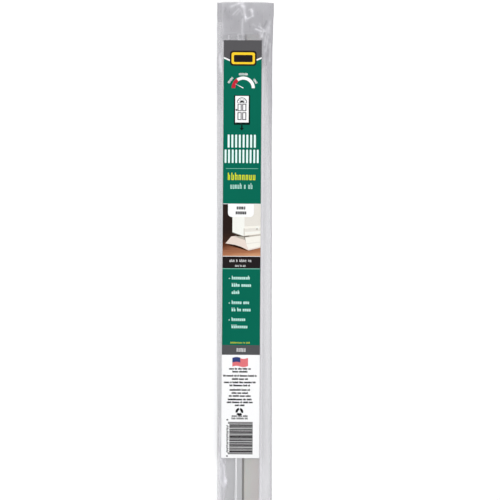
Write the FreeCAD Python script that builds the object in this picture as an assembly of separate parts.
import FreeCAD, Part
import os

# A door sweep in its shop packaging: an aluminium carrier with a vinyl seal,
# a printed card on its front, a loose packet of screws, and a clear sleeve round it all.
# Frame: X across the sweep (towards the vinyl), Y along its length, Z out of its front.
# The pack lies on its back at z = 0, centred on x = 0 and y = 0. Millimetres.

os.makedirs("parts", exist_ok=True)

# ---- sleeve: clear film tube, open at +Y and welded shut at -Y
FILM = 0.15
SLEEVE_WIDTH = 60.0
SLEEVE_LENGTH = 1006.4
SLEEVE_TOP_Z = 5.60
SLEEVE_FOLD_Z = 0.45
HEADER_LENGTH = 34.0
WELD_LENGTH = 8.0
WELD_THICKNESS = 0.30
CARD_TO_CREASE = 1.30

# ---- sweep
SWEEP_LENGTH = 914.4
SWEEP_HEIGHT = 41.3
SWEEP_LEFT_X = -23.9
CLEAR = 0.30
PLATE = 1.20
EDGE_CHAMFER = 0.40
BACK_Z = FILM + CLEAR

# channel that grips the vinyl, and the rib in front of it
CHANNEL_START = 16.8
CHANNEL_END = 22.6
CHANNEL_DEPTH = 3.90
CHANNEL_WALL = 0.90
LIP_WIDTH = 0.90
MOUTH_HALF = 0.55
RIB_CENTRE = 16.2
RIB_RADIUS = 1.40
RIB_TOP_Z = 4.50

# screw slots run across the sweep so that its height on the door can be adjusted
SLOT_COUNT = 6
SLOT_END_DISTANCE = 28.7
SLOT_CENTRE = 8.2
SLOT_LONG = 9.0
SLOT_WIDE = 4.0

# ---- vinyl seal
VINYL_FIT = 0.10
NECK_HALF = 0.45
NECK_END = 24.3
BLADE_START = 24.6
SHOULDER_START = 24.9
SHOULDER_TOP = 25.2
SHOULDER_HALF = 0.70
TIP_HALF = 0.40
TIP_BEVEL = 0.30

# ---- printed card
CARD_LENGTH = 454.2
CARD_THICKNESS = 0.35
CARD_FROM_SWEEP_END = 7.3

# ---- screws and their packet, loose in the welded end of the sleeve
SCREW_COUNT = 6
SCREW_LENGTH = 15.9
SHANK_RADIUS = 1.25
THREAD_RADIUS = 1.75
THREAD_PITCH = 1.40
THREAD_TURNS = 9
HEAD_RADIUS = 3.20
HEAD_HEIGHT = 2.20
HEAD_RIM = 0.70
RECESS_LONG = 3.40
RECESS_WIDE = 0.90
RECESS_DEEP = 1.40
SCREW_GAP = 0.40
PACKET_WALL = 0.10
PACKET_RIM = 3.00
PACKET_SLACK = 0.60
PACKET_FROM_SWEEP_END = 5.0
PACKET_TAPER = 1.5

SLEEVE_TOP_Y = SLEEVE_LENGTH / 2
SLEEVE_END_Y = -SLEEVE_LENGTH / 2
SWEEP_TOP_Y = SLEEVE_TOP_Y - HEADER_LENGTH
SWEEP_END_Y = SWEEP_TOP_Y - SWEEP_LENGTH
SLEEVE_END_START_Y = SWEEP_END_Y - 0.8
MOUTH_Z = BACK_Z + CHANNEL_DEPTH / 2
HEAD_PITCH = HEAD_RADIUS + THREAD_RADIUS + SCREW_GAP
SCREW_TOTAL = SCREW_LENGTH + HEAD_HEIGHT
PACKET_INSIDE_X = HEAD_PITCH * (SCREW_COUNT - 1) + 2 * HEAD_RADIUS + 2 * PACKET_SLACK
PACKET_INSIDE_Y = SCREW_TOTAL + 2 * PACKET_SLACK
PACKET_INSIDE_Z = 2 * HEAD_RADIUS + 0.10
PACKET_CENTRE_Z = BACK_Z + PACKET_WALL + PACKET_INSIDE_Z / 2
PACKET_TOP_Z = BACK_Z + PACKET_INSIDE_Z + 2 * PACKET_WALL
PACKET_START_Y = SWEEP_END_Y - PACKET_FROM_SWEEP_END
PACKET_CENTRE_Y = PACKET_START_Y - PACKET_RIM - PACKET_INSIDE_Y / 2


def vector(x, y, z):
    return FreeCAD.Vector(x, y, z)


def box(x0, x1, y0, y1, z0, z1):
    """A box between three pairs of limits."""
    return Part.makeBox(x1 - x0, y1 - y0, z1 - z0, vector(x0, y0, z0))


def across(points, y0, y1):
    """A prism along Y from a closed outline given as (x, z) points."""
    corners = [vector(x, y0, z) for x, z in points]
    face = Part.Face(Part.makePolygon(corners + corners[:1]))
    return face.extrude(vector(0, y1 - y0, 0))


def along(points, x0, x1):
    """A prism along X from a closed outline given as (y, z) points."""
    corners = [vector(x0, y, z) for y, z in points]
    face = Part.Face(Part.makePolygon(corners + corners[:1]))
    return face.extrude(vector(x1 - x0, 0, 0))


def save(shape, node):
    shape.exportStep("parts/" + node + ".step")


def sweep_x(distance):
    """X of a point this far from the carrier's outer edge."""
    return SWEEP_LEFT_X + distance


def carrier():
    """The aluminium extrusion: flat plate, rib, and channel with two lips."""
    top = BACK_Z + PLATE
    plate = across(
        [
            (sweep_x(0), BACK_Z),
            (sweep_x(CHANNEL_START + 0.5), BACK_Z),
            (sweep_x(CHANNEL_START + 0.5), top),
            (sweep_x(EDGE_CHAMFER), top),
            (sweep_x(0), top - EDGE_CHAMFER),
        ],
        SWEEP_END_Y,
        SWEEP_TOP_Y,
    )
    rib_z = RIB_TOP_Z - RIB_RADIUS
    rib = Part.makeCylinder(
        RIB_RADIUS,
        SWEEP_LENGTH,
        vector(sweep_x(RIB_CENTRE), SWEEP_END_Y, rib_z),
        vector(0, 1, 0),
    )
    rib_foot = box(
        sweep_x(RIB_CENTRE - RIB_RADIUS),
        sweep_x(CHANNEL_START + 0.5),
        SWEEP_END_Y,
        SWEEP_TOP_Y,
        BACK_Z,
        rib_z,
    )
    channel = box(
        sweep_x(CHANNEL_START),
        sweep_x(CHANNEL_END),
        SWEEP_END_Y,
        SWEEP_TOP_Y,
        BACK_Z,
        BACK_Z + CHANNEL_DEPTH,
    )
    body = plate.fuse([rib, rib_foot, channel])
    cavity = box(
        sweep_x(CHANNEL_START + CHANNEL_WALL),
        sweep_x(CHANNEL_END - LIP_WIDTH),
        SWEEP_END_Y,
        SWEEP_TOP_Y,
        BACK_Z + CHANNEL_WALL,
        BACK_Z + CHANNEL_DEPTH - CHANNEL_WALL,
    )
    mouth = box(
        sweep_x(CHANNEL_END - LIP_WIDTH),
        sweep_x(CHANNEL_END),
        SWEEP_END_Y,
        SWEEP_TOP_Y,
        MOUTH_Z - MOUTH_HALF,
        MOUTH_Z + MOUTH_HALF,
    )
    body = body.cut([cavity, mouth])
    body = body.cut(screw_slots())
    return body.removeSplitter()


def screw_slots():
    """Slots through the plate, evenly spaced between two end distances."""
    slots = []
    pitch = (SWEEP_LENGTH - 2 * SLOT_END_DISTANCE) / (SLOT_COUNT - 1)
    radius = SLOT_WIDE / 2
    half = SLOT_LONG / 2 - radius
    centre = sweep_x(SLOT_CENTRE)
    low = BACK_Z - 1
    high = BACK_Z + PLATE + 1
    for index in range(SLOT_COUNT):
        y = SWEEP_END_Y + SLOT_END_DISTANCE + pitch * index
        middle = box(centre - half, centre + half, y - radius, y + radius, low, high)
        ends = [
            Part.makeCylinder(radius, high - low, vector(centre + side * half, y, low))
            for side in (-1, 1)
        ]
        slots.append(middle.fuse(ends).removeSplitter())
    return slots


def seal_spline():
    """The vinyl's anchor bead inside the channel, with its neck through the lips."""
    bead = box(
        sweep_x(CHANNEL_START + CHANNEL_WALL + VINYL_FIT),
        sweep_x(CHANNEL_END - LIP_WIDTH - VINYL_FIT),
        SWEEP_END_Y,
        SWEEP_TOP_Y,
        BACK_Z + CHANNEL_WALL + VINYL_FIT,
        BACK_Z + CHANNEL_DEPTH - CHANNEL_WALL - VINYL_FIT,
    )
    neck = box(
        sweep_x(CHANNEL_END - LIP_WIDTH - VINYL_FIT),
        sweep_x(NECK_END),
        SWEEP_END_Y,
        SWEEP_TOP_Y,
        MOUTH_Z - NECK_HALF,
        MOUTH_Z + NECK_HALF,
    )
    return bead.fuse(neck).removeSplitter()


def seal_blade():
    """The free part of the vinyl: a thick shoulder that tapers to a thin edge."""
    outline = [
        (sweep_x(BLADE_START), MOUTH_Z - NECK_HALF),
        (sweep_x(SHOULDER_START), MOUTH_Z - NECK_HALF),
        (sweep_x(SHOULDER_TOP), MOUTH_Z - SHOULDER_HALF),
        (sweep_x(SWEEP_HEIGHT - TIP_BEVEL), MOUTH_Z - TIP_HALF),
        (sweep_x(SWEEP_HEIGHT), MOUTH_Z - TIP_HALF + TIP_BEVEL),
        (sweep_x(SWEEP_HEIGHT), MOUTH_Z + TIP_HALF - TIP_BEVEL),
        (sweep_x(SWEEP_HEIGHT - TIP_BEVEL), MOUTH_Z + TIP_HALF),
        (sweep_x(SHOULDER_TOP), MOUTH_Z + SHOULDER_HALF),
        (sweep_x(SHOULDER_START), MOUTH_Z + NECK_HALF),
        (sweep_x(BLADE_START), MOUTH_Z + NECK_HALF),
    ]
    return across(outline, SWEEP_END_Y, SWEEP_TOP_Y)


def label_card():
    """The printed card, as wide as the sweep, lying on the rib inside the sleeve."""
    low = RIB_TOP_Z + CLEAR
    top_y = SWEEP_TOP_Y - CARD_FROM_SWEEP_END
    return box(
        sweep_x(0),
        sweep_x(SWEEP_HEIGHT),
        top_y - CARD_LENGTH,
        top_y,
        low,
        low + CARD_THICKNESS,
    )


def tent(half_left, half_right, top, inset):
    """Outline across the sleeve: flat back, two folds, two slopes, flat front."""
    side = SLEEVE_WIDTH / 2 - 2 * inset
    return [
        (-side, inset),
        (side, inset),
        (side, SLEEVE_FOLD_Z - inset),
        (half_right - 0.5 * inset, top - inset),
        (half_left + 0.5 * inset, top - inset),
        (-side, SLEEVE_FOLD_Z - inset),
    ]


def sleeve_space(inset):
    """The sleeve's outer solid, or with an inset of one film thickness its inside."""
    weld_y = SLEEVE_END_Y + WELD_LENGTH
    crease_left = sweep_x(0) - CARD_TO_CREASE
    crease_right = sweep_x(SWEEP_HEIGHT) + CARD_TO_CREASE
    mouth_y = SLEEVE_TOP_Y + (1.0 if inset else 0.0)
    slope_y = PACKET_START_Y - 2 * PACKET_RIM - PACKET_INSIDE_Y - PACKET_TAPER
    low_y = weld_y + 3 * inset
    run = across(tent(crease_left, crease_right, SLEEVE_TOP_Z, inset), low_y, mouth_y)
    run_side = along(
        [
            (low_y, inset),
            (mouth_y, inset),
            (mouth_y, SLEEVE_TOP_Z - inset),
            (slope_y + 3, SLEEVE_TOP_Z - inset),
            (low_y, WELD_THICKNESS - inset + 0.02),
        ],
        -SLEEVE_WIDTH,
        SLEEVE_WIDTH,
    )
    pocket_top = PACKET_TOP_Z + CLEAR + FILM
    pocket_half = PACKET_INSIDE_X / 2 + 2.5
    pocket = across(tent(-pocket_half, pocket_half, pocket_top, inset), low_y, SWEEP_TOP_Y)
    pocket_side = along(
        [
            (low_y, inset),
            (SLEEVE_END_START_Y, inset),
            (SLEEVE_END_START_Y, SLEEVE_FOLD_Z),
            (PACKET_START_Y - PACKET_RIM + 0.6, pocket_top - inset),
            (slope_y, pocket_top - inset),
            (low_y, WELD_THICKNESS - inset + 0.02),
        ],
        -SLEEVE_WIDTH,
        SLEEVE_WIDTH,
    )
    return run.common(run_side).fuse(pocket.common(pocket_side)).removeSplitter()


def sleeve_film():
    """The whole film tube: its outer solid and weld, less its inside."""
    half = SLEEVE_WIDTH / 2
    weld = box(
        -half,
        half,
        SLEEVE_END_Y,
        SLEEVE_END_Y + WELD_LENGTH,
        0,
        WELD_THICKNESS,
    )
    solid = sleeve_space(0).fuse(weld)
    return solid.cut(sleeve_space(FILM)).removeSplitter()


def sleeve_panels(film):
    """The film tube parted along its creases and at the start of its closed end."""
    reach = SLEEVE_WIDTH / 2 + 5
    top = PACKET_TOP_Z + 5
    end_y = SLEEVE_END_START_Y
    crease_left = sweep_x(0) - CARD_TO_CREASE
    crease_right = sweep_x(SWEEP_HEIGHT) + CARD_TO_CREASE
    low = box(-reach, reach, SLEEVE_END_Y - 5, SLEEVE_TOP_Y + 5, -5, FILM)
    closed = box(-reach, reach, SLEEVE_END_Y - 5, end_y, FILM, top)
    run = box(-reach, reach, end_y, SLEEVE_TOP_Y + 5, FILM, top)
    between = box(crease_left, crease_right, end_y, SLEEVE_TOP_Y + 5, FILM, top)
    left = box(-reach, crease_left, end_y, SLEEVE_TOP_Y + 5, FILM, top)
    right = box(crease_right, reach, end_y, SLEEVE_TOP_Y + 5, FILM, top)
    front = film.common(run)
    return {
        "sleeve_back": film.common(low).removeSplitter(),
        "sleeve_end": film.common(closed).removeSplitter(),
        "sleeve_front": front.common(between).removeSplitter(),
        "sleeve_side_left": front.common(left).removeSplitter(),
        "sleeve_side_right": front.common(right).removeSplitter(),
    }


def screw_packet():
    """A small welded pouch round the screws, with a flat rim on four sides."""
    x = PACKET_INSIDE_X / 2
    y = PACKET_INSIDE_Y / 2
    z = PACKET_INSIDE_Z / 2
    inside = box(
        -x, x, PACKET_CENTRE_Y - y, PACKET_CENTRE_Y + y, PACKET_CENTRE_Z - z, PACKET_CENTRE_Z + z
    )
    wall = PACKET_WALL
    outside = box(
        -x - wall,
        x + wall,
        PACKET_CENTRE_Y - y - wall,
        PACKET_CENTRE_Y + y + wall,
        PACKET_CENTRE_Z - z - wall,
        PACKET_CENTRE_Z + z + wall,
    )
    rim = box(
        -x - PACKET_RIM,
        x + PACKET_RIM,
        PACKET_CENTRE_Y - y - PACKET_RIM,
        PACKET_CENTRE_Y + y + PACKET_RIM,
        PACKET_CENTRE_Z - wall,
        PACKET_CENTRE_Z + wall,
    )
    return outside.fuse(rim).removeSplitter().cut(inside)


def screw_blank():
    """One pan head screw along +Z, its head's underside at z = 0, tip pointing down."""
    profile = [
        (0, HEAD_HEIGHT),
        (HEAD_RADIUS * 0.55, HEAD_HEIGHT),
        (HEAD_RADIUS * 0.86, HEAD_HEIGHT * 0.78),
        (HEAD_RADIUS, HEAD_RIM),
        (HEAD_RADIUS, 0),
        (SHANK_RADIUS, 0),
    ]
    start = -0.8
    for turn in range(THREAD_TURNS):
        z = start - turn * THREAD_PITCH
        profile.append((SHANK_RADIUS, z))
        profile.append((THREAD_RADIUS, z - 0.35 * THREAD_PITCH))
        profile.append((SHANK_RADIUS, z - 0.70 * THREAD_PITCH))
    profile.append((SHANK_RADIUS, -SCREW_LENGTH + 1.8))
    profile.append((0, -SCREW_LENGTH))
    corners = [vector(r, 0, z) for r, z in profile]
    face = Part.Face(Part.makePolygon(corners + corners[:1]))
    body = face.revolve(vector(0, 0, 0), vector(0, 0, 1), 360)
    floor = HEAD_HEIGHT - RECESS_DEEP
    half = RECESS_LONG / 2
    wide = RECESS_WIDE / 2
    long_cut = box(-half, half, -wide, wide, floor, HEAD_HEIGHT + 1)
    cross_cut = box(-wide, wide, -half, half, floor, HEAD_HEIGHT + 1)
    return body.cut(long_cut.fuse(cross_cut))


def screws():
    """Six screws side by side in the packet, heads at alternate ends."""
    placed = []
    first_x = -HEAD_PITCH * (SCREW_COUNT - 1) / 2
    for index in range(SCREW_COUNT):
        way = 1 if index % 2 == 0 else -1
        screw = screw_blank()
        screw.rotate(vector(0, 0, 0), vector(1, 0, 0), -90 * way)
        head_side = PACKET_CENTRE_Y + way * (SCREW_TOTAL / 2 - HEAD_HEIGHT)
        screw.translate(vector(first_x + HEAD_PITCH * index, head_side, PACKET_CENTRE_Z))
        placed.append(screw)
    return placed


save(carrier(), "carrier")
save(seal_spline(), "seal_spline")
save(seal_blade(), "seal_blade")
save(label_card(), "label_card")
for panel_name, panel in sleeve_panels(sleeve_film()).items():
    save(panel, panel_name)
save(screw_packet(), "screw_packet")
for number, screw in enumerate(screws(), start=1):
    save(screw, "screw_" + str(number))
